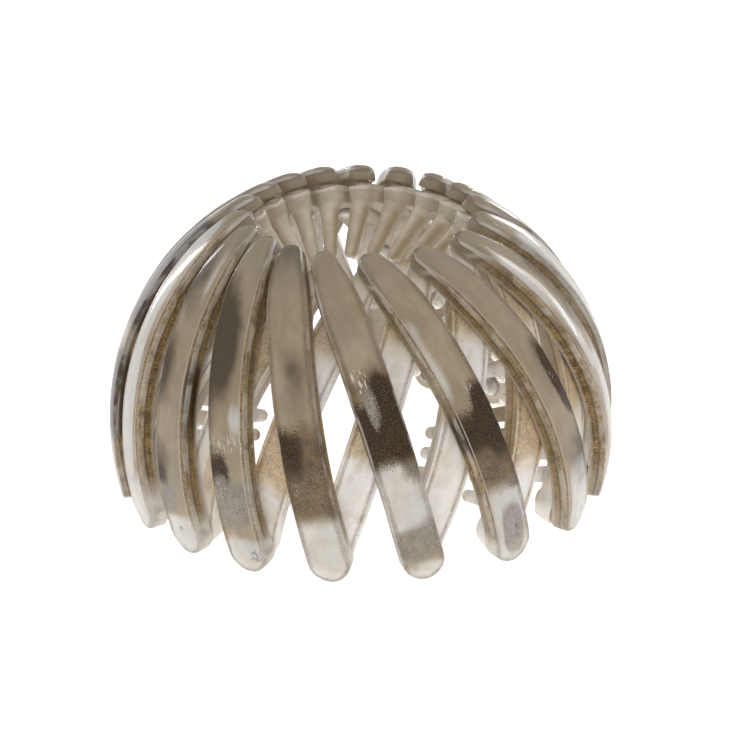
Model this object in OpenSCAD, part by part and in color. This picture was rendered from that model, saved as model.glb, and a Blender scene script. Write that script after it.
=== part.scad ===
// An expanding ponytail ring: a dome of leaning outer arms pegged to a dome of inner arms with teeth.
// Millimetres, +Z up. The origin is on the floor, under the middle of the ring.

/* [Dome] */
// Radius of the ball that the outer faces lie on
dome_r = 42.5; // [41.5:0.25:46]
// Number of outer arms, and of inner arms
arms = 18; // [18:1:18]
// Height of the pegs at the top mouth, as an angle above the ball's middle
top_lat = 60.6; // [59:0.2:61]
// Depth of the pegs at the feet, as an angle below the ball's middle
foot_lat = 11.2; // [8:0.2:12]
// Sideways shift that brings the middle of the ring over the origin
shift_x = 0.05; // [-1:0.01:1]
// Shift towards the back, for the same purpose
shift_y = -0.16; // [-1:0.01:1]

/* [Lean] */
// Turn of the first top peg round the ring
top_turn = -65; // [-68:0.5:-62]
// Turn of the first foot peg round the ring
foot_turn = -41.7; // [-45:0.1:-40]
// Swing of the top pegs out of even spacing, once round the ring
top_sway_1 = 9; // [0:0.5:9]
// Swing of the top pegs, twice round the ring
top_sway_2 = 4; // [0:0.5:4]
// Swing of the top pegs, three times round the ring
top_sway_3 = 2.2; // [0:0.2:2.2]
// Swing of the foot pegs out of even spacing, once round the ring
foot_sway_1 = 2.75; // [0:0.05:4]
// Swing of the foot pegs, twice round the ring
foot_sway_2 = 2; // [0:0.1:3]
// Swing of the foot pegs, three times round the ring
foot_sway_3 = 0.95; // [0:0.05:2]
// Outer arms that each inner arm spans between its head and its foot
span = 3; // [3:1:3]

/* [Outer arms] */
// Thickness of an outer arm
outer_t = 2.7; // [2.4:0.1:3]
// Width of an outer arm at its inner face
outer_w = 7.5; // [6.5:0.1:7.6]
// Width of its outer face, between the soft edges
outer_face_w = 7; // [5:0.1:7]
// Radius of the rounded tip
outer_tip_r = 2.1; // [1.9:0.05:2.1]
// Radius of the rounded foot
outer_foot_r = 3.9; // [3.8:0.05:4]

/* [Inner arms] */
// Gap between the outer arms' inner faces and the inner arms
shell_gap = 0.5; // [0.3:0.05:0.6]
// Thickness of an inner arm
inner_t = 3.1; // [2.6:0.1:3.2]
// Width of an inner arm
inner_w = 7; // [6:0.1:7]
// Radius of the rounded head
inner_head_r = 2.4; // [2.2:0.05:2.4]
// Width of the neck under the head
inner_neck_w = 4; // [3.6:0.1:4]
// Radius of the rounded foot
inner_foot_r = 3.6; // [3.5:0.05:3.6]

/* [Teeth] */
// Length of a tooth
tooth_l = 8.5; // [6:0.5:9]
// Length of the prong under the head
prong_l = 10.5; // [8:0.5:11]
// Radius of a tooth at its root
tooth_root_r = 1.55; // [1.3:0.05:1.55]
// Radius of the prong at its root
prong_root_r = 1.7; // [1.5:0.05:1.8]
// Radius of a tooth's round end
tooth_tip_r = 1.05; // [0.8:0.05:1.1]
// Part of the arm's own curve that the teeth follow, 1 for teeth that all point at the ball's middle
tooth_fan = 0.55; // [0.4:0.05:0.8]

/* [Pegs] */
// Radius of a peg
peg_r = 1.1; // [0.9:0.05:1.1]
// Clearance round a peg, and under its button
peg_gap = 0.25; // [0.2:0.05:0.3]
// Radius of the button that keeps an inner arm on its peg
button_r = 1.6; // [1.5:0.05:1.65]
// Thickness of the button
button_t = 0.9; // [0.7:0.1:1]
// Depth of the blind bore in an inner arm's head
head_bore = 2; // [1.6:0.1:2.2]

/* [Hidden] */
outer_colour = [0.59, 0.53, 0.47];
inner_colour = [0.76, 0.72, 0.65];
step = 360 / arms;
// Room past a face for a shape that cuts it
over = 3;
// Half the size of the shapes that cut an arm to its outline
reach = 70;
// Angle that an arm's bar runs on past its end pegs, before its ends are rounded
run_out = 7.5;
outer_in_r = dome_r - outer_t;
inner_out_r = outer_in_r - shell_gap;
inner_in_r = inner_out_r - inner_t;
// Radius of a rounded foot at its outer face, where the ring stands on the floor
foot_face_r = outer_foot_r - 0.3;
centre_z = dome_r * sin(foot_lat) + foot_face_r * cos(foot_lat);
bore_r = peg_r + peg_gap;

function arm_name(kind, i) = str(kind, i < 10 ? "0" : "", i);

// Turn round the ring of outer arm i's top peg, from the front towards +X
function top_lon(i) = step * i + top_turn + top_sway_1 * sin(step * i - 110)
    + top_sway_2 * sin(2 * step * i + 133) + top_sway_3 * sin(3 * step * i + 51);

// Turn round the ring of outer arm i's foot peg
function foot_lon(i) = step * i + foot_turn + foot_sway_1 * sin(step * i - 127)
    + foot_sway_2 * sin(2 * step * i - 165) + foot_sway_3 * sin(3 * step * i + 170);

// Point of the unit ball at a turn from the front and a height angle
function on_ball(lon, lat) = [cos(lat) * sin(lon), -cos(lat) * cos(lon), sin(lat)];

function unit(v) = v / norm(v);
function top_peg(i) = on_ball(top_lon(i), top_lat);
function foot_peg(i) = on_ball(foot_lon(i), -foot_lat);

// An arm's own axes: out through its top peg, down along the arm, and across it
function arm_axes(top, foot) = let (across = unit(cross(top, foot))) [top, cross(across, top), across];
function outer_axes(i) = arm_axes(top_peg(i), foot_peg(i));
function inner_axes(j) = arm_axes(top_peg(j + span), foot_peg(j));

// Angle down an arm to a direction
function angle_down(axes, dir) = atan2(dir * axes[1], dir * axes[0]);

// Direction in which an outer and an inner arm cross, on the upper side of the ball
function crossing(outer, inner) = let (c = unit(cross(outer[2], inner[2]))) c.z > 0 ? c : -c;

// Angles down outer arm i to its four pegs
function outer_pegs(i) = let (a = outer_axes(i)) [
    0,
    for (k = [span - 1 : -1 : 1]) angle_down(a, crossing(a, inner_axes(i - k))),
    angle_down(a, foot_peg(i))
];

// Angles down inner arm j to its four bores
function inner_bores(j) = let (a = inner_axes(j)) [
    0,
    for (k = [span - 1 : -1 : 1]) angle_down(a, crossing(outer_axes(j + k), a)),
    angle_down(a, foot_peg(j))
];

// Puts a shape drawn in an arm's own axes in its place
module placed(a)
    translate([shift_x, shift_y, centre_z])
        multmatrix([for (row = [0 : 2]) [a[0][row], a[1][row], a[2][row], 0]])
            children();

// A flat outline, with x down the arm and y across it, drawn out along the radius at an angle
module radial(angle, from, to)
    rotate([0, 0, angle]) rotate([90, 0, 90]) translate([0, 0, from]) linear_extrude(to - from) children();

// A straight round piece along the radius at an angle
module radial_pin(angle, from, to, r_from, r_to)
    rotate([0, 0, angle]) rotate([0, 90, 0])
        translate([0, 0, from]) cylinder(h = to - from, r1 = r_from, r2 = r_to, $fn = 48);

// A bar bent round the ball, from a section with x along the radius
module bent_bar(end, section)
    rotate([0, 0, -run_out]) rotate_extrude(angle = end + 2 * run_out, $fn = 180) polygon(section);

// The outline of an arm's top end: a round end, then half widths at distances down the arm
module top_outline(end_r, widths)
{
    circle(r = end_r, $fn = 48);
    polygon([
        [0, -end_r], for (w = widths) [w[0], -w[1]], [reach, -widths[len(widths) - 1][1]],
        [reach, widths[len(widths) - 1][1]], for (k = [len(widths) - 1 : -1 : 0]) [widths[k][0], widths[k][1]],
        [0, end_r]
    ]);
}

// The space that a rounded foot fills: everything above the foot peg, and a drafted round end below it
module foot_space(end, in_r, out_r, r_in, r_out)
{
    radial(end, over, reach) translate([-reach, -outer_w]) square([reach, 2 * outer_w]);
    radial_pin(end, in_r - over, out_r + over,
        r_in + (r_in - r_out) * over / (out_r - in_r), r_out - (r_in - r_out) * over / (out_r - in_r));
}

// Section of an outer arm: a flat inner face, drafted sides and a low crown
outer_section = [
    [outer_in_r, -outer_w / 2 + 0.5], [outer_in_r + 0.4, -outer_w / 2],
    [dome_r - 0.8, -outer_face_w / 2 - 0.1], [dome_r - 0.3, -outer_face_w / 2 + 0.3],
    [dome_r, -outer_face_w / 2 + 1.2], [dome_r, outer_face_w / 2 - 1.2],
    [dome_r - 0.3, outer_face_w / 2 - 0.3], [dome_r - 0.8, outer_face_w / 2 + 0.1],
    [outer_in_r + 0.4, outer_w / 2], [outer_in_r, outer_w / 2 - 0.5]
];

// Section of an inner arm: its wider face is the outer one
inner_section = [
    [inner_in_r, -inner_w / 2 + 0.9], [inner_in_r + 0.5, -inner_w / 2 + 0.35],
    [inner_out_r - 0.5, -inner_w / 2], [inner_out_r, -inner_w / 2 + 0.5],
    [inner_out_r, inner_w / 2 - 0.5], [inner_out_r - 0.5, inner_w / 2],
    [inner_in_r + 0.5, inner_w / 2 - 0.35], [inner_in_r, inner_w / 2 - 0.9]
];

// Half widths of an outer arm at distances below its top peg
outer_widths = [[2, 2.3], [5, 3], [9, 3.5], [13, 3.8], [16, 4.2]];

// Half widths of an inner arm: a narrow neck under the head, then the full width
inner_widths = [[2.2, inner_neck_w / 2], [4.5, inner_neck_w / 2 + 0.1], [8, 2.95], [12, 3.6], [14, 4]];

// One outer arm with its four pegs: a short one at the tip, and three with buttons that hold the inner arms
module outer_arm(i)
{
    pegs = outer_pegs(i);
    end = pegs[span];
    button_top = inner_in_r - peg_gap;
    color(outer_colour) placed(outer_axes(i))
    {
        intersection()
        {
            bent_bar(end, outer_section);
            radial(0, over, reach) top_outline(outer_tip_r, outer_widths);
            foot_space(end, outer_in_r, dome_r, outer_foot_r, foot_face_r);
        }
        radial_pin(0, inner_out_r - head_bore + peg_gap, outer_in_r + 1, peg_r, peg_r);
        for (k = [1 : span])
        {
            radial_pin(pegs[k], button_top - button_t / 2, outer_in_r + 1, peg_r, peg_r);
            radial_pin(pegs[k], button_top - button_t, button_top, button_r - 0.35, button_r);
        }
    }
}

// A tooth on the arm's inner face at one angle, pointing in along another
module tooth(angle, lean, length, root_r)
    rotate([0, 0, angle]) translate([inner_in_r, 0, 0]) rotate([0, 0, lean - angle]) rotate([0, -90, 0])
        rotate_extrude($fn = 32) polygon([
            [0, -1.2], [root_r, -1.2],
            for (turn = [0 : 30 : 60])
                [tooth_tip_r * cos(turn), length - tooth_tip_r + tooth_tip_r * sin(turn)],
            [0, length]
        ]);

// Angles down inner arm j to its teeth, spread evenly between the bores
function tooth_angles(b) = concat(
    [for (k = [1 : 3]) b[1] + (b[2] - b[1]) * k / 4],
    [for (k = [1 : 5]) b[2] + (b[3] - b[2]) * k / 6]
);

// One inner arm with its bores, its teeth and the prong under its head, where the bore is blind
module inner_arm(j)
{
    bores = inner_bores(j);
    end = bores[span];
    middle = end / 2;
    color(inner_colour) placed(inner_axes(j))
        difference()
        {
            union()
            {
                intersection()
                {
                    bent_bar(end, inner_section);
                    radial(0, over, reach) top_outline(inner_head_r, inner_widths);
                    foot_space(end, inner_in_r, inner_out_r, inner_foot_r - 0.3, inner_foot_r);
                }
                tooth(0, middle * (1 - tooth_fan), prong_l, prong_root_r);
                for (t = tooth_angles(bores))
                    tooth(t, middle + (t - middle) * tooth_fan, tooth_l, tooth_root_r);
            }
            radial_pin(0, inner_out_r - head_bore, inner_out_r + over, bore_r, bore_r);
            for (k = [1 : span]) radial_pin(bores[k], inner_in_r - over, inner_out_r + over, bore_r, bore_r);
        }
}

for (i = [1 : arms])
{
    outer_arm(i);
    inner_arm(i);
}
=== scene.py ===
import math
import random

import bmesh
import bpy
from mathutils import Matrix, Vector, noise


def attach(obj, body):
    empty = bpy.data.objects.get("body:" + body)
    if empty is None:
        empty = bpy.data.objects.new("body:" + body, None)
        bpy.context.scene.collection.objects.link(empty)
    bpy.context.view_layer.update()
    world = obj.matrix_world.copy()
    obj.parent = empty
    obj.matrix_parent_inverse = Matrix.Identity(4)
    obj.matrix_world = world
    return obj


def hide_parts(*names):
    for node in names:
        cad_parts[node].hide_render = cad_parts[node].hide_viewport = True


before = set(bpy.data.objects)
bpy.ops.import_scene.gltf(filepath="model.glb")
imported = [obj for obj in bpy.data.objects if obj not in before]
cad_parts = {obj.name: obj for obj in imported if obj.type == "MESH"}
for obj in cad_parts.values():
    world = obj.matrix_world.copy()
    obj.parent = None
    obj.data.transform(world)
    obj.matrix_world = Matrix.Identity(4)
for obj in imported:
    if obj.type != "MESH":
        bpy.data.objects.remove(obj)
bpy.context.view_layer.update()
mm = 0.001  # the scene is in metres, and the sizes below are in millimetres
print("frame loaded:", len(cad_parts), "nodes")

# The dome: where the pegs at the top mouth and at the feet stand, as angles round a ball
dome = {
    "radius": 42.5,  # of the ball that the outer faces lie on
    "arms": 18,
    "span": 3,  # outer arms between an inner arm's head and its foot
    "topLat": 60.6,
    "footLat": -11.2,
    "topTurn": -65,
    "footTurn": -41.7,
    "topSway": ((9, -110), (4, 133), (2.2, 51)),  # size and phase of each harmonic, in degrees
    "footSway": ((2.75, -127), (2, -165), (0.95, 170)),
    "shift": (0.05, -0.16),
}

outerArm = {
    "thickness": 2.7,
    "refRadius": 41,  # where lengths along the arm are measured
    # half widths, at distances from the tip's peg
    "widths": ((0, 2.55), (2, 2.7), (5, 3.3), (9, 3.65), (13, 3.8), (100, 3.8)),
    "footRadius": 4.1,
    "footReach": 3.6,  # from the foot's peg down to the floor, once the foot is rounded
    "draft": 0.32,  # how much narrower each side is at the outer face
    "footDraft": 0.45,
    "crown": 0.22,  # how much higher the outer face is along its middle
    "faceBevel": 0.5,
    "backBevel": 0.5,
    "columns": (0.3, 0.62),  # where the mesh has its rows of points, from the middle to the edge
    "headRound": 0.14,  # how much the tip narrows towards its outer face
    "neckRound": 0,  # and towards its base
    "tipSlope": 1.1,  # how far the outer face drops towards the tip's end
    "wobble": 0.09,  # how far the moulding strays from the drawing
}

innerArm = {
    "thickness": 3.1,
    "refRadius": 37.8,
    "widths": ((0, 2.8), (2.2, 2.5), (4.5, 2.6), (8, 3.2), (12, 3.5), (100, 3.5)),
    "footRadius": 3.6,
    "draft": -0.3,  # an inner arm is wider at its outer face
    "footDraft": -0.3,
    "crown": 0.1,
    "faceBevel": 1.0,
    "backBevel": 1.15,
    "columns": (0.3, 0.6),
    "headRound": 0.25,
    "neckRound": 0.2,
    "tipSlope": 0.7,
    "wobble": 0.08,
}

shellGap = 0.5  # between the outer and the inner arms
peg = {
    "radius": 1.1,
    "gap": 0.25,
    "button": 1.6,  # radius of the knob that holds a peg in its bore
    "buttonHeight": 0.9,
    "buttonTop": 1.2,
    "headBore": 2.0,  # depth of the blind bore in an inner arm's head
}
teeth = {
    "length": 8.5,
    "rootRadius": 1.55,
    "tipRadius": 1.05,
    "fan": 0.55,  # 1 for teeth that point at the ball's middle, 0 for parallel ones
    "spans": (4, 6),  # parts that the teeth divide each stretch between two bores into
}
prong = {
    "length": 10.5,
    "steps": ((0, 2.0), (0.8, 1.75), (2.4, 1.5), (5.25, 1.3)),  # it flows out of the head: length, radius
}
roundUp = 1.07  # an eight-sided ring shrinks by this much when it is subdivided
rowSpacing = 2  # between the mesh's rows along an arm, about
endTurn = 22  # the end row of an arm's mesh covers this many degrees of its round end, each way
footTurns = (endTurn, 45)  # where the foot's round end has rows
tipLength = 3.5  # of the part of the outer face that slopes down to the tip's end
neckLength = 6  # how far down the arm its tip is rounded in height as well
wobbleScale = (0.13, 0.1)  # of the noise in the wobble, along and across the arm
wobbleFade = 8  # how far down the arm the wobble grows to its full size
wobbleSeed = 7
rimBevel = 0.12  # of a bore's edges
middleColumn = 3
lastColumn = 6
noise.seed_set(wobbleSeed)  # or else the clock seeds the noise, and each run gives other arms

outerBase = dome["radius"] - outerArm["thickness"]
innerFace = outerBase - shellGap
innerBase = innerFace - innerArm["thickness"]
footAngle = math.radians(-dome["footLat"])
domeHeight = dome["radius"] * math.sin(footAngle) + outerArm["footReach"] * math.cos(footAngle)
domeCentre = Vector((dome["shift"][0], dome["shift"][1], domeHeight))


def onBall(lon, lat):
    lon, lat = math.radians(lon), math.radians(lat)
    return Vector((math.cos(lat) * math.sin(lon), -math.cos(lat) * math.cos(lon), math.sin(lat)))


def swayed(i, turn, sways):
    even = 360 / dome["arms"] * i
    waves = enumerate(sways, 1)
    return even + turn + sum(size * math.sin(math.radians(n * even + phase)) for n, (size, phase) in waves)


def topPeg(i):
    return onBall(swayed(i, dome["topTurn"], dome["topSway"]), dome["topLat"])


def footPeg(i):
    return onBall(swayed(i, dome["footTurn"], dome["footSway"]), dome["footLat"])


def armAxes(top, foot):
    across = top.cross(foot).normalized()
    return top, across.cross(top), across


def outerAxes(i):
    return armAxes(topPeg(i), footPeg(i))


def innerAxes(j):
    return armAxes(topPeg(j + dome["span"]), footPeg(j))


def angleDown(axes, direction):
    return math.atan2(direction.dot(axes[1]), direction.dot(axes[0]))


def crossing(outer, inner):
    meet = outer[2].cross(inner[2]).normalized()
    return meet if meet.z > 0 else -meet


def outerPegs(i):
    axes = outerAxes(i)
    middle = [angleDown(axes, crossing(axes, innerAxes(i - k))) for k in range(dome["span"] - 1, 0, -1)]
    return [0, *middle, angleDown(axes, footPeg(i))]


def innerBores(j):
    axes = innerAxes(j)
    middle = [angleDown(axes, crossing(outerAxes(j + k), axes)) for k in range(dome["span"] - 1, 0, -1)]
    return [0, *middle, angleDown(axes, footPeg(j))]


def halfWidth(arm, s, length):
    widths = arm["widths"]
    if s < 0:
        return math.sqrt(max(widths[0][1] ** 2 - s ** 2, 0))
    if s > length:
        return min(widths[-1][1], math.sqrt(max(arm["footRadius"] ** 2 - (s - length) ** 2, 0)))
    for (s0, w0), (s1, w1) in zip(widths, widths[1:]):
        if s <= s1:
            return w0 + (w1 - w0) * (s - s0) / (s1 - s0)


def stationList(arm, length, marks):  # distances along the arm where the mesh has a row of points
    fixed = {-arm["widths"][0][1] * math.cos(math.radians(endTurn))}
    for s, reach in marks.items():
        fixed |= {s - reach, s, s + reach}
    fixed |= {length + arm["footRadius"] * math.cos(math.radians(a)) for a in footTurns}
    fixed = sorted(fixed)
    rows = []
    for a, b in zip(fixed, fixed[1:]):
        count = max(1, round((b - a) / rowSpacing))
        rows += [a + (b - a) * k / count for k in range(count)]
    return rows + [fixed[-1]]


def flatPlace(arm, length, rows, row, column, level):
    c1, c2 = arm["columns"]
    share = (-1, -c2, -c1, 0, c1, c2, 1)[column]
    s = rows[row]
    slope = arm["tipSlope"] * max(0, 1 - (s + arm["widths"][0][1]) / tipLength) ** 2
    height = (arm["thickness"] + arm["crown"] * (1 - share ** 2) - slope) if level else 0
    footShare = max(0, min(1, (s - length) / arm["footRadius"]))
    draft = arm["draft"] + (arm["footDraft"] - arm["draft"]) * footShare
    inset = draft * level if draft > 0 else -draft * (1 - level)
    w = halfWidth(arm, s, length)
    for centre, radius, side in ((0, arm["widths"][0][1], -1), (length, arm["footRadius"], 1)):
        if (s - centre) * side <= 0:
            continue
        if row in (0, len(rows) - 1):
            turn, reach = math.radians(endTurn) * share, radius - inset
            return Vector((centre + side * reach * math.cos(turn), reach * math.sin(turn), height))
        shrink = (radius - inset) / radius
        return Vector((centre + (s - centre) * shrink, share * w * shrink, height))
    return Vector((s, share * (w - inset), height))


def edgeDistance(arm, s, y, length):  # how far inside the arm's outline a point lies
    if s < 0:
        return arm["widths"][0][1] - math.hypot(s, y)
    if s > length:
        return arm["footRadius"] - math.hypot(s - length, y)
    return halfWidth(arm, s, length) - abs(y)


def armBody(axes, arm, base, length, marks, seed):
    bm = bmesh.new()
    rowOf, columnOf, levelOf = (bm.verts.layers.int.new(n) for n in ("row", "column", "level"))
    along, across = (bm.verts.layers.float.new(n) for n in ("along", "across"))
    for name in ("pin", "flank"):
        bm.verts.layers.float.new(name)
    rows = stationList(arm, length, marks)
    bmesh.ops.create_grid(bm, x_segments=len(rows) - 1, y_segments=lastColumn, size=1)
    for v in bm.verts:
        v[rowOf] = round((v.co.x + 1) / 2 * (len(rows) - 1))
        v[columnOf] = round((v.co.y + 1) / 2 * lastColumn)
    raised = bmesh.ops.extrude_face_region(bm, geom=bm.faces[:])["geom"]
    for v in raised:
        if isinstance(v, bmesh.types.BMVert):
            v[levelOf] = 1
    for v in bm.verts:
        v.co = flatPlace(arm, length, rows, v[rowOf], v[columnOf], v[levelOf])
    for level, offset in ((1, arm["faceBevel"]), (0, arm["backBevel"])):
        rim = [e for e in bm.edges if all(v[levelOf] == level for v in e.verts)
               and any(v[levelOf] != level for f in e.link_faces for v in f.verts)]
        bmesh.ops.bevel(bm, geom=rim, offset=offset, offset_type="OFFSET", affect="EDGES",
                        segments=2, profile=0.5, material=-1, clamp_overlap=True)
    edge, depth, seedOf = (bm.verts.layers.float.new(n) for n in ("edge", "depth", "seed"))
    for v in bm.verts:
        s, y, h = v.co
        v[along], v[across] = s / length, y / arm["widths"][-1][1]
        height = h / arm["thickness"]
        rounding = arm["headRound"] * max(0, 2 * height - 1) ** 2 + arm["neckRound"] * max(0, 1 - height)
        rounding *= max(0, 1 - max(0, s) / neckLength)
        y *= 1 - rounding
        s -= min(s, 0) * rounding
        v[edge], v[depth], v[seedOf] = edgeDistance(arm, s, y, length), 1 - height, seed * 0.37
        spot = Vector((s * wobbleScale[0], y * wobbleScale[1], seed * 7.3))
        drift = noise.noise_vector(spot) * arm["wobble"]
        y += drift.x * min(1, max(s, 0) / wobbleFade)
        h += drift.y * 0.8 * height
        turn = s / arm["refRadius"]
        v.co = axes[0] * (base + h) * math.cos(turn) + axes[1] * (base + h) * math.sin(turn) + axes[2] * y
    return bm, rows


# The faces round a point on the arm's middle line: a row, and half columns, each way
def patch(bm, row, level, half=1):
    rowOf, columnOf, levelOf = (bm.verts.layers.int[n] for n in ("row", "column", "level"))

    def inside(v):
        return abs(v[rowOf] - row) <= 1 and abs(v[columnOf] - middleColumn) <= half and v[levelOf] == level

    found = [f for f in bm.faces if len(f.verts) == 4 and all(inside(v) for v in f.verts)]
    assert len(found) == 4 * half, (row, level, len(found))
    return found


# Puts the patch's rim on a circle that lies across the direction out
def ring(bm, faces, row, centre, out, side, radius, lift=0.0, half=1):
    rowOf, columnOf = (bm.verts.layers.int[n] for n in ("row", "column"))
    flank = bm.verts.layers.float["flank"]
    down = side.cross(out)
    for v in {v for f in faces for v in f.verts}:
        dr, dc = v[rowOf] - row, (v[columnOf] - middleColumn) / half
        if abs(dr) == 1 or abs(dc) == 1:
            turn = math.atan2(dc, dr)
            v[flank] = abs(math.sin(turn))
            v.co = centre + (down * math.cos(turn) + side * math.sin(turn)) * radius
        else:
            v.co = centre + side * dc * radius + out * lift


# Grows a patch along the direction out, through steps of length and radius
def pin(bm, faces, row, foot, out, side, profile, half=1):
    pinOf = bm.verts.layers.float["pin"]
    for k, (length, radius) in enumerate(profile):
        if k:
            made = bmesh.ops.extrude_face_region(bm, geom=faces)["geom"]
            faces = [f for f in made if isinstance(f, bmesh.types.BMFace)]
            for f in faces:
                for v in f.verts:
                    v[pinOf] = length
        lift = 0.25 * radius if k == len(profile) - 1 else 0
        ring(bm, faces, row, foot + out * length, out, side, radius * roundUp, lift, half)
    return faces


def bore(bm, row, axes, angle, base, arm, radius):  # a round hole through the arm
    out = axes[0] * math.cos(angle) + axes[1] * math.sin(angle)
    rims = []
    for level, r in ((1, base + arm["thickness"] + arm["crown"]), (0, base)):
        faces = patch(bm, row, level)
        ring(bm, faces, row, out * r, out, axes[2], radius * roundUp)
        rims += [e for f in faces for e in f.edges if sum(g in faces for g in e.link_faces) == 1]
        bmesh.ops.delete(bm, geom=faces, context="FACES")
    bmesh.ops.bridge_loops(bm, edges=rims)
    bmesh.ops.bevel(bm, geom=rims, offset=rimBevel, offset_type="OFFSET", affect="EDGES",
                    segments=1, profile=0.5, material=-1, clamp_overlap=True)


# Where the marbling and a few painted glints and reflections lie on each outer arm: the kind, from and to
# down the arm (0 at the tip's peg, 1 at the foot's), from and to across it (-1 left, 1 right), and the
# strength
outerZones = {
    1: (("smoke", 0.18, 0.54, -2, 0.3, 1.25), ("clear", 0.53, 0.63, 0.1, 1.2, 0.8),
        ("glintAndFrost", 0.62, 0.68, -0.9, 1.1, 1.3), ("dark", 0.69, 0.8, -1, 0, 1),
        ("slateAndReflection", 0.76, 0.93, -1, 1, 0.7), ("clear", 0.95, 1.2, -1.3, 1.3, 0.9),
        ("crack", 0.98, 1.04, 0.1, 0.8, 1), ("side", -0.3, 1.3, 0.72, 1.5, 1)),
    2: (("smoke", -0.4, 0.05, -1.6, 1.6, 1.3), ("smoke", 0.24, 0.54, -0.4, 1.9, 0.3),
        ("dark", 0.57, 0.7, -1, 0.1, 0.75), ("brown", 0.58, 0.84, -1.3, 1.3, 0.9),
        ("glintAndFrost", 0.68, 0.82, -0.7, -0.2, 0.7), ("clear", 0.86, 1.2, -1.3, 1.3, 0.9),
        ("crack", 0.93, 0.98, -1.3, -0.9, 1)),
    # on arm 3 the frost mark near 0.4 is a painted glint, and the slate streak beside it a painted
    # reflection
    3: (("brown", 0.37, 0.5, -1.3, 1.3, 0.55), ("glintAndFrost", 0.36, 0.45, -0.65, -0.05, 1.4),
        ("slateAndReflection", 0.43, 0.56, -0.4, -0.1, 1.15), ("dark", 0.42, 0.6, 0, 1.3, 1),
        ("dark", 0.48, 0.66, -1.3, 1.3, 1), ("brown", 0.6, 0.71, 0.2, 1.3, 1),
        ("clear", 0.69, 0.87, -1.3, 1.3, 1.3), ("slateAndReflection", 0.87, 0.99, -1.3, 1.3, 1),
        ("crack", 0.97, 1.0, -0.1, 0.3, 1), ("clear", 1.0, 1.2, -1.3, 1.3, 0.9),
        ("side", -0.3, 0.2, -1.5, -0.75, 1)),
    # on arm 4 the frost mark is a painted glint
    4: (("clear", 0.22, 0.5, -1.3, -0.3, 0.5), ("glintAndFrost", 0.45, 0.49, 0, 0.7, 1),
        ("dark", 0.48, 0.7, 0.1, 1.3, 1), ("dark", 0.53, 0.66, -1.3, 0.5, 0.95),
        ("brown", 0.6, 0.78, -1.3, 1.3, 0.85), ("clear", 0.79, 1.2, -1.3, 1.3, 0.8),
        ("slateAndReflection", 0.86, 1.03, -0.5, 0.6, 1), ("crack", 0.93, 0.99, 0.1, 0.5, 1),
        ("side", -0.3, 1.3, -1.5, -0.78, 1)),
    5: (("smoke", 0.34, 0.52, 0.2, 0.8, 0.9), ("glintAndFrost", 0.48, 0.56, 0.3, 0.7, 0.8),
        ("dark", 0.42, 0.66, 0.4, 1.3, 1.1), ("smoke", 0.7, 0.84, -0.6, 1.3, 0.7),
        ("clear", 0.82, 1.2, -0.6, 1.3, 0.8), ("crack", 0.98, 1.02, 0.1, 0.5, 1),
        ("side", -0.3, 1.3, -1.5, -0.7, 1)),
    6: (("clear", 0.08, 0.35, -0.7, -0.2, 1), ("clear", 0.3, 0.6, -0.45, 0.15, 1),
        ("clear", 0.55, 0.85, -0.1, 0.7, 1), ("brown", 0.15, 0.5, 0.3, 1.3, 0.8),
        ("brown", 0.4, 0.92, -1.3, -0.4, 0.8), ("side", -0.3, 1.3, -1.5, -0.7, 1)),
    7: (("clear", 0.1, 0.9, -0.9, -0.1, 1), ("brown", 0.1, 0.9, 0.2, 1.3, 0.7)),
    8: (("brown", 0.1, 0.6, -0.4, 1.3, 0.7), ("clear", 0.2, 0.8, -1.3, -0.4, 0.9)),
    16: (("dark", 0.12, 0.52, -1.3, 1.3, 1), ("dark", 0.6, 0.85, -1.3, 1.3, 1)),
    17: (("clear", 0.06, 0.88, -0.8, 0.2, 1.3), ("brown", 0.3, 0.83, 0.5, 1.3, 0.8),
        ("dark", 0.83, 0.88, 0.3, 0.8, 0.8), ("dark", 0.42, 0.66, -1.4, -0.9, 0.8),
        ("clear", 0.9, 1.2, -1.3, 1.3, 0.8), ("side", -0.3, 1.3, 0.6, 1.5, 1)),
    18: (("smoke", 0.03, 0.28, -2, 0, 1.4), ("clear", 0.08, 0.26, 0.1, 0.5, 0.8),
        ("smoke", 0.38, 0.58, -2, -0.2, 1.2), ("smoke", 0.7, 0.83, -2, -0.2, 1.3),
        ("dark", 0.77, 0.87, -1.3, -0.2, 0.8), ("slateAndReflection", 0.84, 0.93, -1.3, 0.2, 1),
        ("dark", 0.45, 0.72, 0.8, 1.4, 0.9), ("clear", 0.94, 1.2, -1.3, 1.1, 1),
        ("crack", 0.95, 1.0, -0.4, 0.2, 0.8), ("side", -0.3, 1.3, 0.66, 1.5, 1)),
}
markFeather = {  # over what share of the arm's length and of its half width a mark fades
    "dark": (0.09, 0.5),
    "brown": (0.12, 0.5),
    "smoke": (0.2, 0.9),
    "slateAndReflection": (0.09, 0.5),
    "clear": (0.08, 0.5),
    "glintAndFrost": (0.03, 0.5),
    "crack": (0.02, 0.5),
    "side": (0.3, 0.4),
}
markKinds = tuple(markFeather)
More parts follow.
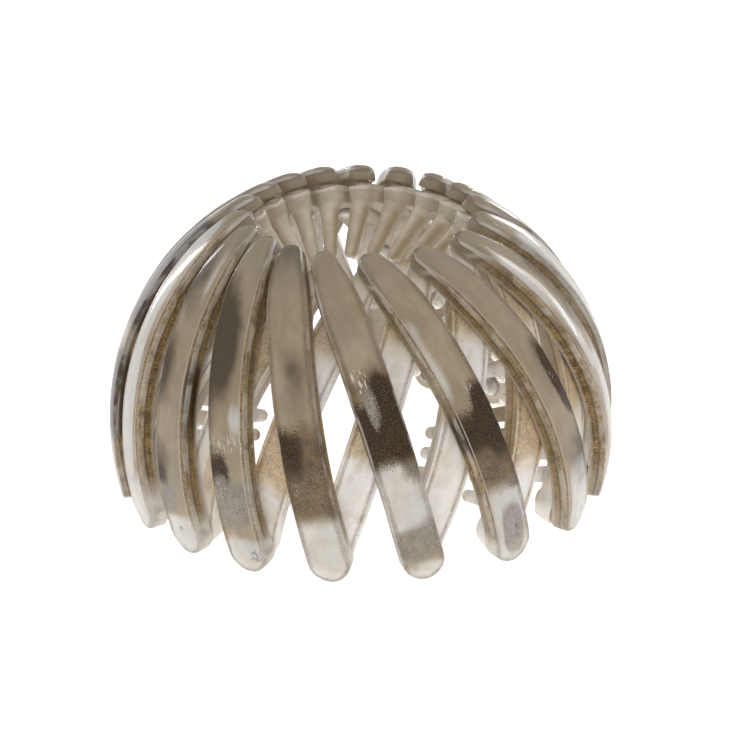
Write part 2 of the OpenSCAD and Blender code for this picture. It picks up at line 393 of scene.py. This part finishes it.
innerZones = {  # the same for the inner arms that show
    17: (("clear", 0.2, 0.5, -1.3, 1.3, 0.6), ("brown", 0.28, 0.4, -1.3, 1.3, 0.5)),
    18: (("brown", 0.2, 0.42, -1.3, 1.3, 0.8), ("clear", 0.42, 1.2, -1.3, 1.3, 0.5),
        ("brown", 0.6, 0.9, -0.2, 1.3, 0.6)),
    1: (("brown", 0.17, 0.34, -1.3, 1.3, 0.9), ("clear", 0.33, 0.5, -1.3, 1.3, 0.9),
        ("brown", 0.55, 0.78, -1.3, 1.3, 0.9), ("clear", 0.79, 1.2, -1.3, 1.3, 1)),
    2: (("brown", 0.17, 0.32, -1.3, 1.3, 0.9), ("clear", 0.33, 0.5, -1.3, 1.3, 1),
        ("brown", 0.53, 0.66, -1.3, 1.3, 0.9), ("clear", 0.67, 1.2, -1.3, 1.3, 1)),
    3: (("brown", 0.17, 0.33, -1.3, 1.3, 0.9), ("clear", 0.33, 0.5, -1.3, 1.3, 1),
        ("brown", 0.5, 0.6, -1.3, 1.3, 0.6), ("clear", 0.61, 1.2, -1.3, 1.3, 1)),
    4: (("brown", 0.2, 0.36, -1.3, 1.3, 0.8), ("brown", 0.5, 0.78, -1.3, 1.3, 0.9),
        ("clear", 0.79, 1.2, -1.3, 1.3, 1)),
    5: (("brown", 0.45, 0.72, -1.3, 1.3, 0.6), ("clear", 0.74, 1.2, -1.3, 1.3, 1)),
}


def zoneMask(zones, kind, t, y):
    best = 0
    for zone, low, high, left, right, strength in zones:
        if zone == kind:
            fadeDown, fadeOver = markFeather[kind]
            down = min(1, max(0, 0.5 + min(t - low, high - t) / fadeDown))
            over = min(1, max(0, 0.5 + min(y - left, right - y) / fadeOver))
            best = max(best, strength * down * over)
    return best


def paintZones(bm, zones, toothClear):  # toothClear: how clear the pegs or teeth are
    along, across, pinned = (bm.verts.layers.float[n] for n in ("along", "across", "pin"))
    for kind in markKinds:
        layer = bm.verts.layers.float.new(kind)
        for v in bm.verts:
            v[layer] = zoneMask(zones, kind, v[along], v[across])
            if kind == "clear" and v[pinned] > 0.1 and v[along] > 0.06:
                v[layer] = toothClear


def chanceZones(seed, kinds):  # marbling for an arm whose own marks don't show in the photograph
    chance = random.Random(seed)
    zones = []
    at = chance.uniform(0.1, 0.35)
    while at < 1:
        size = chance.uniform(0.08, 0.24)
        side = chance.choice((-1.3, -1.3, -0.2))
        kind = chance.choice(kinds)
        zones.append((kind, at, at + size, side, side + chance.choice((1.4, 2.6)), chance.uniform(0.6, 1)))
        at += size + chance.uniform(0.08, 0.3)
    return zones


def finishArm(bm, name, node, material):
    for v in bm.verts:
        v.co = (v.co + domeCentre) * mm
    bmesh.ops.recalc_face_normals(bm, faces=bm.faces[:])
    for f in bm.faces:
        f.smooth = True
    mesh = bpy.data.meshes.new(name)
    bm.to_mesh(mesh)
    bm.free()
    piece = bpy.data.objects.new(name, mesh)
    bpy.context.scene.collection.objects.link(piece)
    rounding = piece.modifiers.new("rounding", "SUBSURF")
    rounding.levels = rounding.render_levels = 2
    mesh.materials.append(material)
    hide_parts(node)
    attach(piece, "root")
    return piece


def buildOuterArm(i, material):
    axes, pegs = outerAxes(i), outerPegs(i)
    ref = outerArm["refRadius"]
    marks = {a * ref: peg["radius"] for a in pegs}
    bm, rows = armBody(axes, outerArm, outerBase, pegs[-1] * ref, marks, i)
    through = shellGap + innerArm["thickness"] + peg["gap"]
    for k, a in enumerate(pegs):
        row = min(range(len(rows)), key=lambda n: abs(rows[n] - a * ref))
        out = axes[0] * math.cos(a) + axes[1] * math.sin(a)
        steps = [(0, peg["radius"] + 0.2), (0.3, peg["radius"])]
        if k == 0:
            steps.append((shellGap + peg["headBore"] - peg["gap"], peg["radius"]))
        else:
            steps += [(through, peg["radius"]), (through, peg["button"])]
            steps += [(through + peg["buttonHeight"] * 0.6, peg["button"])]
            steps += [(through + peg["buttonHeight"], peg["buttonTop"])]
        pin(bm, patch(bm, row, 0), row, out * outerBase, -out, axes[2], steps)
    paintZones(bm, outerZones.get(i) or chanceZones(i, ("dark", "brown", "smoke", "slateAndReflection", "clear")), 0.8)
    name = "outerArm%02d" % i
    return finishArm(bm, name, "outer_arm_%02d" % i, material)


def buildInnerArm(j, material):
    axes, bores = innerAxes(j), innerBores(j)
    ref = innerArm["refRadius"]
    toothAt = []
    for a, b, parts in zip(bores[1:], bores[2:], teeth["spans"]):
        toothAt += [a + (b - a) * k / parts for k in range(1, parts)]
    marks = {a * ref: peg["radius"] + peg["gap"] for a in bores}
    marks |= {a * ref: teeth["rootRadius"] for a in toothAt}
    bm, rows = armBody(axes, innerArm, innerBase, bores[-1] * ref, marks, j + 40)
    rowAt = {a: min(range(len(rows)), key=lambda n: abs(rows[n] - a * ref)) for a in bores + toothAt}
    middle = bores[-1] / 2
    tip = teeth["tipRadius"]
    for a in [0] + toothAt:
        out = axes[0] * math.cos(a) + axes[1] * math.sin(a)
        lean = middle + (a - middle) * teeth["fan"]
        inward = -(axes[0] * math.cos(lean) + axes[1] * math.sin(lean))
        if a:
            size, root, half = teeth["length"], teeth["rootRadius"], 1
            steps = [(0, root + 0.12), (0.7, root - 0.1), (size * 0.5, (root + tip) / 2)]
        else:
            size, half, steps = prong["length"], 2, list(prong["steps"])
        steps += [(size - tip, tip), (size - tip * 0.3, tip * 0.72)]
        pin(bm, patch(bm, rowAt[a], 0, half), rowAt[a], out * innerBase, inward, axes[2], steps, half)
    boreRadius = peg["radius"] + peg["gap"]
    pin(bm, patch(bm, rowAt[0], 1), rowAt[0], axes[0] * (innerFace + innerArm["crown"]), -axes[0], axes[2],
        [(0, boreRadius), (peg["headBore"], boreRadius)])
    for a in bores[1:]:
        bore(bm, rowAt[a], axes, a, innerBase, innerArm, boreRadius)
    paintZones(bm, innerZones.get(j) or chanceZones(j + 60, ("brown", "clear", "clear")), 1)
    name = "innerArm%02d" % j
    return finishArm(bm, name, "inner_arm_%02d" % j, material)


class Wire:  # a socket that takes part in Python sums
    def __init__(self, sheet, socket):
        self.sheet, self.socket = sheet, socket

    def __add__(self, other):
        return self.sheet.math("ADD", self, other)

    def __sub__(self, other):
        return self.sheet.math("SUBTRACT", self, other)

    def __rsub__(self, other):
        return self.sheet.math("SUBTRACT", other, self)

    def __mul__(self, other):
        return self.sheet.math("MULTIPLY", self, other)

    def __abs__(self):
        return self.sheet.math("ABSOLUTE", self, 0)

    __radd__ = __add__
    __rmul__ = __mul__


class Sheet:  # a node tree, and the one way in which nodes come on to it
    def __init__(self, tree):
        self.tree = tree

    def node(self, kind, settings=None, output=0, **inputs):
        made = self.tree.nodes.new("ShaderNode" + kind)
        for key, value in (settings or {}).items():
            setattr(made, key, value)
        for key, value in inputs.items():
            socket = made.inputs[int(key[1:])] if key[1:].isdigit() else made.inputs[key.replace("_", " ")]
            if isinstance(value, Wire):
                self.plug(value, socket)
            else:
                socket.default_value = value
        return Wire(self, made.outputs[output])

    def plug(self, wire, socket):
        self.tree.links.new(wire.socket, socket)

    def attribute(self, name):
        return self.node("Attribute", {"attribute_name": name}, output=2)

    def noise(self, where, scale, detail=2.0, rough=0.5, warp=0.0):
        return self.node("TexNoise", None, 0, Vector=where, Scale=scale, Detail=detail, Roughness=rough,
                         Distortion=warp)

    # bottom below low, top above high, and smooth between
    def step(self, value, low, high, bottom=0.0, top=1.0):
        return self.node("MapRange", {"interpolation_type": "SMOOTHSTEP", "clamp": True}, 0, Value=value,
                         From_Min=low, From_Max=high, To_Min=bottom, To_Max=top)

    # a mark whose edge the noise moves, and which leaves bare places bare
    def blot(self, mark, spread, low, high):
        return self.step(mark + spread * self.step(mark, 0.02, 0.25), low, high)

    def math(self, operation, a, b):
        return self.node("Math", {"operation": operation}, 0, i0=a, i1=b)

    def mix(self, share, a, b):  # two colours
        colours = [c if isinstance(c, Wire) else (*c, 1) for c in (a, b)]
        return self.node("Mix", {"data_type": "RGBA"}, 2, i0=share, i6=colours[0], i7=colours[1])


noiseScales = {
    "streak": 1.6,  # long streaks down an arm
    "drift": 0.6,  # longer still
    "hair": 1.5,  # short scratches
    "swirl": 160,  # the rest are per metre
    "cloud": 520,
    "grain": 5600,
}
raggedEdges = {  # how far slow and fine noise move a mark's edge, and where its edge starts and ends
    "dark": (0.7, 0.4, 0.25, 0.7),
    "brown": (0.8, 0.35, 0.2, 0.7),
    "smoke": (1.1, 0.2, 0.1, 1.1),
    "slateAndReflection": (0.6, 0.1, 0.3, 0.65),
    "clear": (0.7, 0.1, 0.2, 0.65),
}


def plasticFinish(name, look):
    material = bpy.data.materials.new(name)
    material.use_nodes = True
    material.node_tree.nodes.clear()
    f = Sheet(material.node_tree)
    where = f.node("TexCoord", None, 3)
    marks = {kind: f.attribute(kind) for kind in markKinds}
    along, across, edge, depth, pinned, flank, seed = (
        f.attribute(n) for n in ("along", "across", "edge", "depth", "pin", "flank", "seed"))
    flow = f.node("CombineXYZ", None, 0, X=along * 7, Y=across * 1.3, Z=seed + depth * 0.6)
    comb = f.node("CombineXYZ", None, 0, X=along * 30, Y=across * 9, Z=seed + depth)
    streak = f.noise(flow, noiseScales["streak"], 3, 0.55, 0.5)
    hair = f.noise(comb, noiseScales["hair"], 3, 0.6, 0.4)
    swirl = f.noise(where, noiseScales["swirl"], 3, 0.6, 0.8)
    cloud = f.noise(where, noiseScales["cloud"], 3, 0.6, 0.2)
    grain = f.noise(where, noiseScales["grain"], 1, 0.5)
    drift = f.noise(flow, noiseScales["drift"], 1, 0.4)
    soft = (drift - 0.5) * 1.6 + (streak - 0.5) * 0.35 + (swirl - 0.5) * 0.5
    speck = (grain - 0.5) * 2 + (cloud - 0.5) * 0.5
    masks = {kind: f.blot(marks[kind], soft * slow + speck * fine, low, high)
             for kind, (slow, fine, low, high) in raggedEdges.items()}
    # frost marks: whitish scratches on some arms, painted glints on arms 3 and 4
    glintAndFrostMask = f.step(marks["glintAndFrost"] * f.step(hair, 0.52, 0.62), 0.45, 0.6)
    crackMask = f.step(marks["crack"] * (1 - f.step(abs(hair - 0.5), 0.02, 0.06)), 0.5, 0.7)
    body = 1 - f.step(pinned, 0.01, 0.4)
    # the brown side walls, and the band along some faces that carries on from them
    reach = (1 - f.step(along + soft * 0.05, 0.9, 0.98)) * f.step(along, -0.02, 0.05) * body
    band = f.step(marks["side"] + (hair - 0.5) * 0.15, 0.5, 0.62)
    wallMask = f.math("MAXIMUM", f.step(depth, 0.15, 0.35), band) * reach
    # painted highlight: a pale line along the inner edge of that band
    sideHighlight = f.step(marks["side"], 0.36, 0.42) * (1 - f.step(marks["side"], 0.46, 0.56)) * reach
    colour = f.mix(f.step(streak, 0.3, 0.7), look["base"], look["baseLight"])
    colour = f.mix(f.step(swirl, 0.45, 0.62) * 0.5, colour, look["baseGrey"])
    fleck = f.step(grain + (cloud - 0.5) * 0.5 + (hair - 0.5) * 0.4, 0.38, 0.6)
    wallColour = f.mix(fleck, look["wallDark"], look["wall"])
    pale = f.mix(f.step(swirl + (streak - 0.5) * 0.8, 0.35, 0.75), look["clear"], look["clearShade"])
    colour = f.mix(masks["clear"] * 0.9, colour, pale)
    colour = f.mix(masks["brown"] * look["brownShare"], colour, f.mix(fleck, look["dark"], look["brown"]))
    # painted shade: a dark band just inside the outline, broken by some grain
    wavy = edge + (hair - 0.5) * 0.6
    shadedEdgeAndGrain = f.step(wavy, *look["shadedEdgeStart"]) * (1 - f.step(wavy, 0.8, 1.4))
    shadedEdgeAndGrain *= f.step(along, -0.02, 0.06) * body
    colour = f.mix(shadedEdgeAndGrain * look["shadedEdgeAndGrain"] * (1 - fleck * 0.6), colour, look["wallDark"])
    colour = f.mix(masks["smoke"] * 0.95, colour, look["smoke"])
    colour = f.mix(wallMask * look["wallShare"], colour, wallColour)
    peppered = f.mix(f.step(grain, 0.5, 0.62) * 0.4, look["dark"], look["brown"])
    colour = f.mix(masks["dark"], colour, peppered)
    # slate marks; the one on arm 3 near 0.5 is a painted reflection streak
    colour = f.mix(masks["slateAndReflection"] * 0.8, colour, f.mix(fleck, look["slateDark"], look["slateAndReflection"]))
    # frost marks and painted glints, in the painted highlight colour
    colour = f.mix(glintAndFrostMask * 0.75, colour, look["rim"])
    colour = f.mix(crackMask * 0.9, colour, look["dark"])
    # painted shade: a dark line along the side wall, just below the rim
    shadeLine = f.step(depth, 0.2, 0.3) * (1 - f.step(depth, 0.36, 0.5)) * body
    colour = f.mix(shadeLine * (1 - masks["clear"]) * look["shadeLine"], colour, look["wallDark"])
    head = (1 - f.step(along + swirl * 0.04, look["headEnd"], look["headEnd"] + 0.06)) * (1 - crackMask)
    headColour = f.mix(f.step(swirl, 0.3, 0.7), look["head"], look["headLight"])
    colour = f.mix(head * look["headShare"], colour, headColour)
    # painted shade on the prong's two sides, darker than its middle
    flankShade = f.step(flank, 0.6, 0.98) * f.step(pinned, 0.3, 2) * (1 - f.step(along, 0.03, 0.08))
    colour = f.mix(flankShade * look["flankShade"], colour, look["wall"])
    # painted highlight: a pale line along the rounded edge of the face, brighter at the tip
    rim = f.step(edge, 0.1, 0.25) * (1 - f.step(edge, 0.4, 0.6)) * (1 - f.step(depth, 0.2, 0.4)) * body
    tip = 1 - f.step(along, 0.01, 0.12)
    colour = f.mix(rim * (f.step(streak, 0.4, 0.6, 0.05, 0.35) + tip * 0.6), colour, look["rim"])
    # the painted highlight along the side band
    colour = f.mix(sideHighlight * 0.45, colour, look["rim"])
    # painted highlight: a pale line along the back edge of the arm
    backEdgeHighlight = f.step(depth, 0.86, 0.97) * f.step(along, 0.02, 0.09) * body
    colour = f.mix(backEdgeHighlight * 0.5, colour, look["rim"])
    # two plastics, a milky one that lets light through and a solid one in the brown places
    bump = f.node("Bump", None, 0, Strength=look["bump"], Distance=look["bumpDepth"], Height=swirl * 3)
    both = {"Base_Color": colour, "Roughness": look["roughness"], "IOR": look["ior"], "Normal": bump,
            "Specular_IOR_Level": look["specular"], "Coat_Roughness": look["coatRoughness"]}
    milky = f.node("BsdfPrincipled", None, 0, **both, Transmission_Weight=look["through"],
                   Coat_Weight=look["coat"], Emission_Color=colour, Emission_Strength=look["glow"])
    solid = f.node("BsdfPrincipled", None, 0, **both, Coat_Weight=look["solidCoat"])
    dense = masks["dark"] * 0.9 + (masks["brown"] + wallMask + masks["smoke"]) * 0.45
    out = f.tree.nodes.new("ShaderNodeOutputMaterial")
    f.plug(f.node("MixShader", None, 0, i0=dense, i1=milky, i2=solid), out.inputs["Surface"])
    return material


def srgb(r, g, b):  # a colour as a screen shows it, from 0 to 255
    return tuple((c / 255 / 12.92) if c <= 10 else ((c / 255 + 0.055) / 1.055) ** 2.4 for c in (r, g, b))


outerLook = {
    "base": srgb(168, 147, 116),
    "baseLight": srgb(184, 166, 136),
    "baseGrey": srgb(160, 145, 125),
    "smoke": srgb(66, 52, 30),
    "clear": srgb(232, 229, 221),
    "clearShade": srgb(214, 209, 200),
    "brown": srgb(118, 90, 50),
    "brownShare": 0.85,
    "slateAndReflection": srgb(164, 156, 146),
    "slateDark": srgb(116, 106, 94),
    "dark": srgb(36, 22, 3),
    "wall": srgb(164, 136, 92),
    "wallDark": srgb(84, 62, 34),
    "wallShare": 0.85,
    # painted shade: how dark the line along the side wall just below the rim is
    "shadeLine": 0.7,
    # the painted highlight colour, also used for the frost marks and the painted glints
    "rim": srgb(232, 227, 216),
    # painted shade: how dark the band just inside the outline is; some grain breaks it
    "shadedEdgeAndGrain": 0.6,
    "shadedEdgeStart": (0.2, 0.45),  # where the painted edge shade starts, in mm inside the outline
    "roughness": 0.4,
    "ior": 1.5,
    "specular": 0.12,
    "coat": 0.35,
    "solidCoat": 0.3,
    "coatRoughness": 0.04,
    "bump": 0.15,
    "bumpDepth": 0.0002,  # in metres
    "through": 0.5,  # how much light passes through the plastic
    "head": srgb(150, 136, 114),
    "headLight": srgb(166, 153, 132),
    "headShare": 0.3,
    "headEnd": 0.1,  # how far down the arm its head's own colour goes
    "flankShade": 0.2,  # how far painted shade browns the prong's two sides
    "glow": 0.04,  # stands for the light that scatters about inside the plastic
}
innerLook = dict(outerLook, **{
    "base": srgb(228, 216, 194),
    "baseLight": srgb(238, 229, 212),
    "baseGrey": srgb(230, 224, 214),
    "clear": srgb(247, 245, 243),
    "clearShade": srgb(228, 218, 202),
    "brown": srgb(212, 180, 130),
    "brownShare": 0.75,
    "dark": srgb(138, 106, 62),
    "wall": srgb(168, 144, 106),
    "wallDark": srgb(124, 94, 54),
    "wallShare": 0.4,
    "shadeLine": 0.4,
    "shadedEdgeAndGrain": 0.75,
    "shadedEdgeStart": (0.3, 0.6),
    "through": 0.4,
    "head": srgb(184, 170, 146),
    "headLight": srgb(214, 203, 182),
    "headShare": 0.85,
    "headEnd": 0.05,
    "flankShade": 0.75,
    "glow": 0.08,
})

outerPlastic = plasticFinish("smokyPlastic", outerLook)
innerPlastic = plasticFinish("sandPlastic", innerLook)
for i in range(1, dome["arms"] + 1):
    buildOuterArm(i, outerPlastic)
    buildInnerArm(i, innerPlastic)
print("arms built")

# Camera, at the photograph's angle: the dome's middle stands a little left of the picture's middle and
# below it
camera = {
    "distance": 900,
    "elevation": 24.32,
    "pixelsPerMm": 5.9,
    "frame": 740,
    "aim": (361.05, 413.33),  # pixel of the ball's middle
    "sensor": 36,
}
tilt = math.radians(camera["elevation"])
back = Vector((0, -math.cos(tilt), math.sin(tilt)))
up = Vector((0, math.sin(tilt), math.cos(tilt)))
aimRight = (camera["frame"] / 2 - camera["aim"][0]) / camera["pixelsPerMm"]
aimUp = (camera["aim"][1] - camera["frame"] / 2) / camera["pixelsPerMm"]
ballCentre = Vector((0, 0, domeHeight))
eye = ballCentre + back * camera["distance"]
target = ballCentre + Vector((1, 0, 0)) * aimRight + up * aimUp
lens = bpy.data.cameras.new("camera")
lens.sensor_width = camera["sensor"]
lens.lens = camera["sensor"] * camera["distance"] / (camera["frame"] / camera["pixelsPerMm"])
lens.clip_start, lens.clip_end = 0.01, 10
cameraObject = bpy.data.objects.new("camera", lens)
cameraObject.location = eye * mm
cameraObject.rotation_mode = "QUATERNION"
cameraObject.rotation_quaternion = (target - eye).to_track_quat("-Z", "Y")
bpy.context.scene.collection.objects.link(cameraObject)
bpy.context.scene.camera = cameraObject
print("camera placed")

# The studio: even, soft light from all round, a little dimmer behind, three soft boxes and a white floor
studio = {
    "front": 0.95,  # how bright the air is on the camera's side
    "back": 0.45,
    "top": 1.0,
    "air": (0.97, 0.975, 1, 1),
    "floorRadius": 3,
    "paper": (0.7, 0.7, 0.7, 1),
    "paperGlow": 0.85,
    "paperRoughness": 0.9,
    "boxes": {  # place, size and power
        "boxLeft": ((-0.66, 0.85, 0.2), (0.1, 0.45), 1.8),
        "boxRight": ((0.82, 0.7, 0.4), (0.09, 0.8), 2),
        "boxBack": ((0.38, 1.0, 0.1), (0.1, 0.3), 1),
    },
    "middle": (0, 0, 0.03),  # where the boxes point
}
world = bpy.data.worlds.new("studio")
world.use_nodes = True
air = Sheet(world.node_tree)
bearing = air.node("SeparateXYZ", None, 1, Vector=air.node("TexCoord", None, 0))
sky = air.node("SeparateXYZ", None, 2, Vector=air.node("TexCoord", None, 0))
around = air.step(bearing, -0.3, 0.7, studio["front"], studio["back"])
overhead = air.step(sky, 0.45, 0.95)
backdrop = world.node_tree.nodes["Background"]
backdrop.inputs["Color"].default_value = studio["air"]
air.plug(around * (1 - overhead) + overhead * studio["top"], backdrop.inputs["Strength"])
bpy.context.scene.world = world
bpy.context.scene.view_settings.view_transform = "Standard"

floorMesh = bmesh.new()
bmesh.ops.create_circle(floorMesh, cap_ends=True, segments=96, radius=studio["floorRadius"])
floorData = bpy.data.meshes.new("floor")
floorMesh.to_mesh(floorData)
floorMesh.free()
floor = bpy.data.objects.new("floor", floorData)
bpy.context.scene.collection.objects.link(floor)
paper = bpy.data.materials.new("paper")
paper.use_nodes = True
sheen = paper.node_tree.nodes["Principled BSDF"].inputs
sheen["Base Color"].default_value = studio["paper"]
sheen["Roughness"].default_value = studio["paperRoughness"]
sheen["Emission Color"].default_value = (1, 1, 1, 1)
sheen["Emission Strength"].default_value = studio["paperGlow"]
floorData.materials.append(paper)

for name, (place, size, power) in studio["boxes"].items():
    light = bpy.data.lights.new(name, "AREA")
    light.shape = "RECTANGLE"
    light.size, light.size_y = size
    light.energy = power
    lamp = bpy.data.objects.new(name, light)
    lamp.location = place
    lamp.rotation_mode = "QUATERNION"
    lamp.rotation_quaternion = (Vector(studio["middle"]) - Vector(place)).to_track_quat("-Z", "Y")
    bpy.context.scene.collection.objects.link(lamp)
print("studio lit")
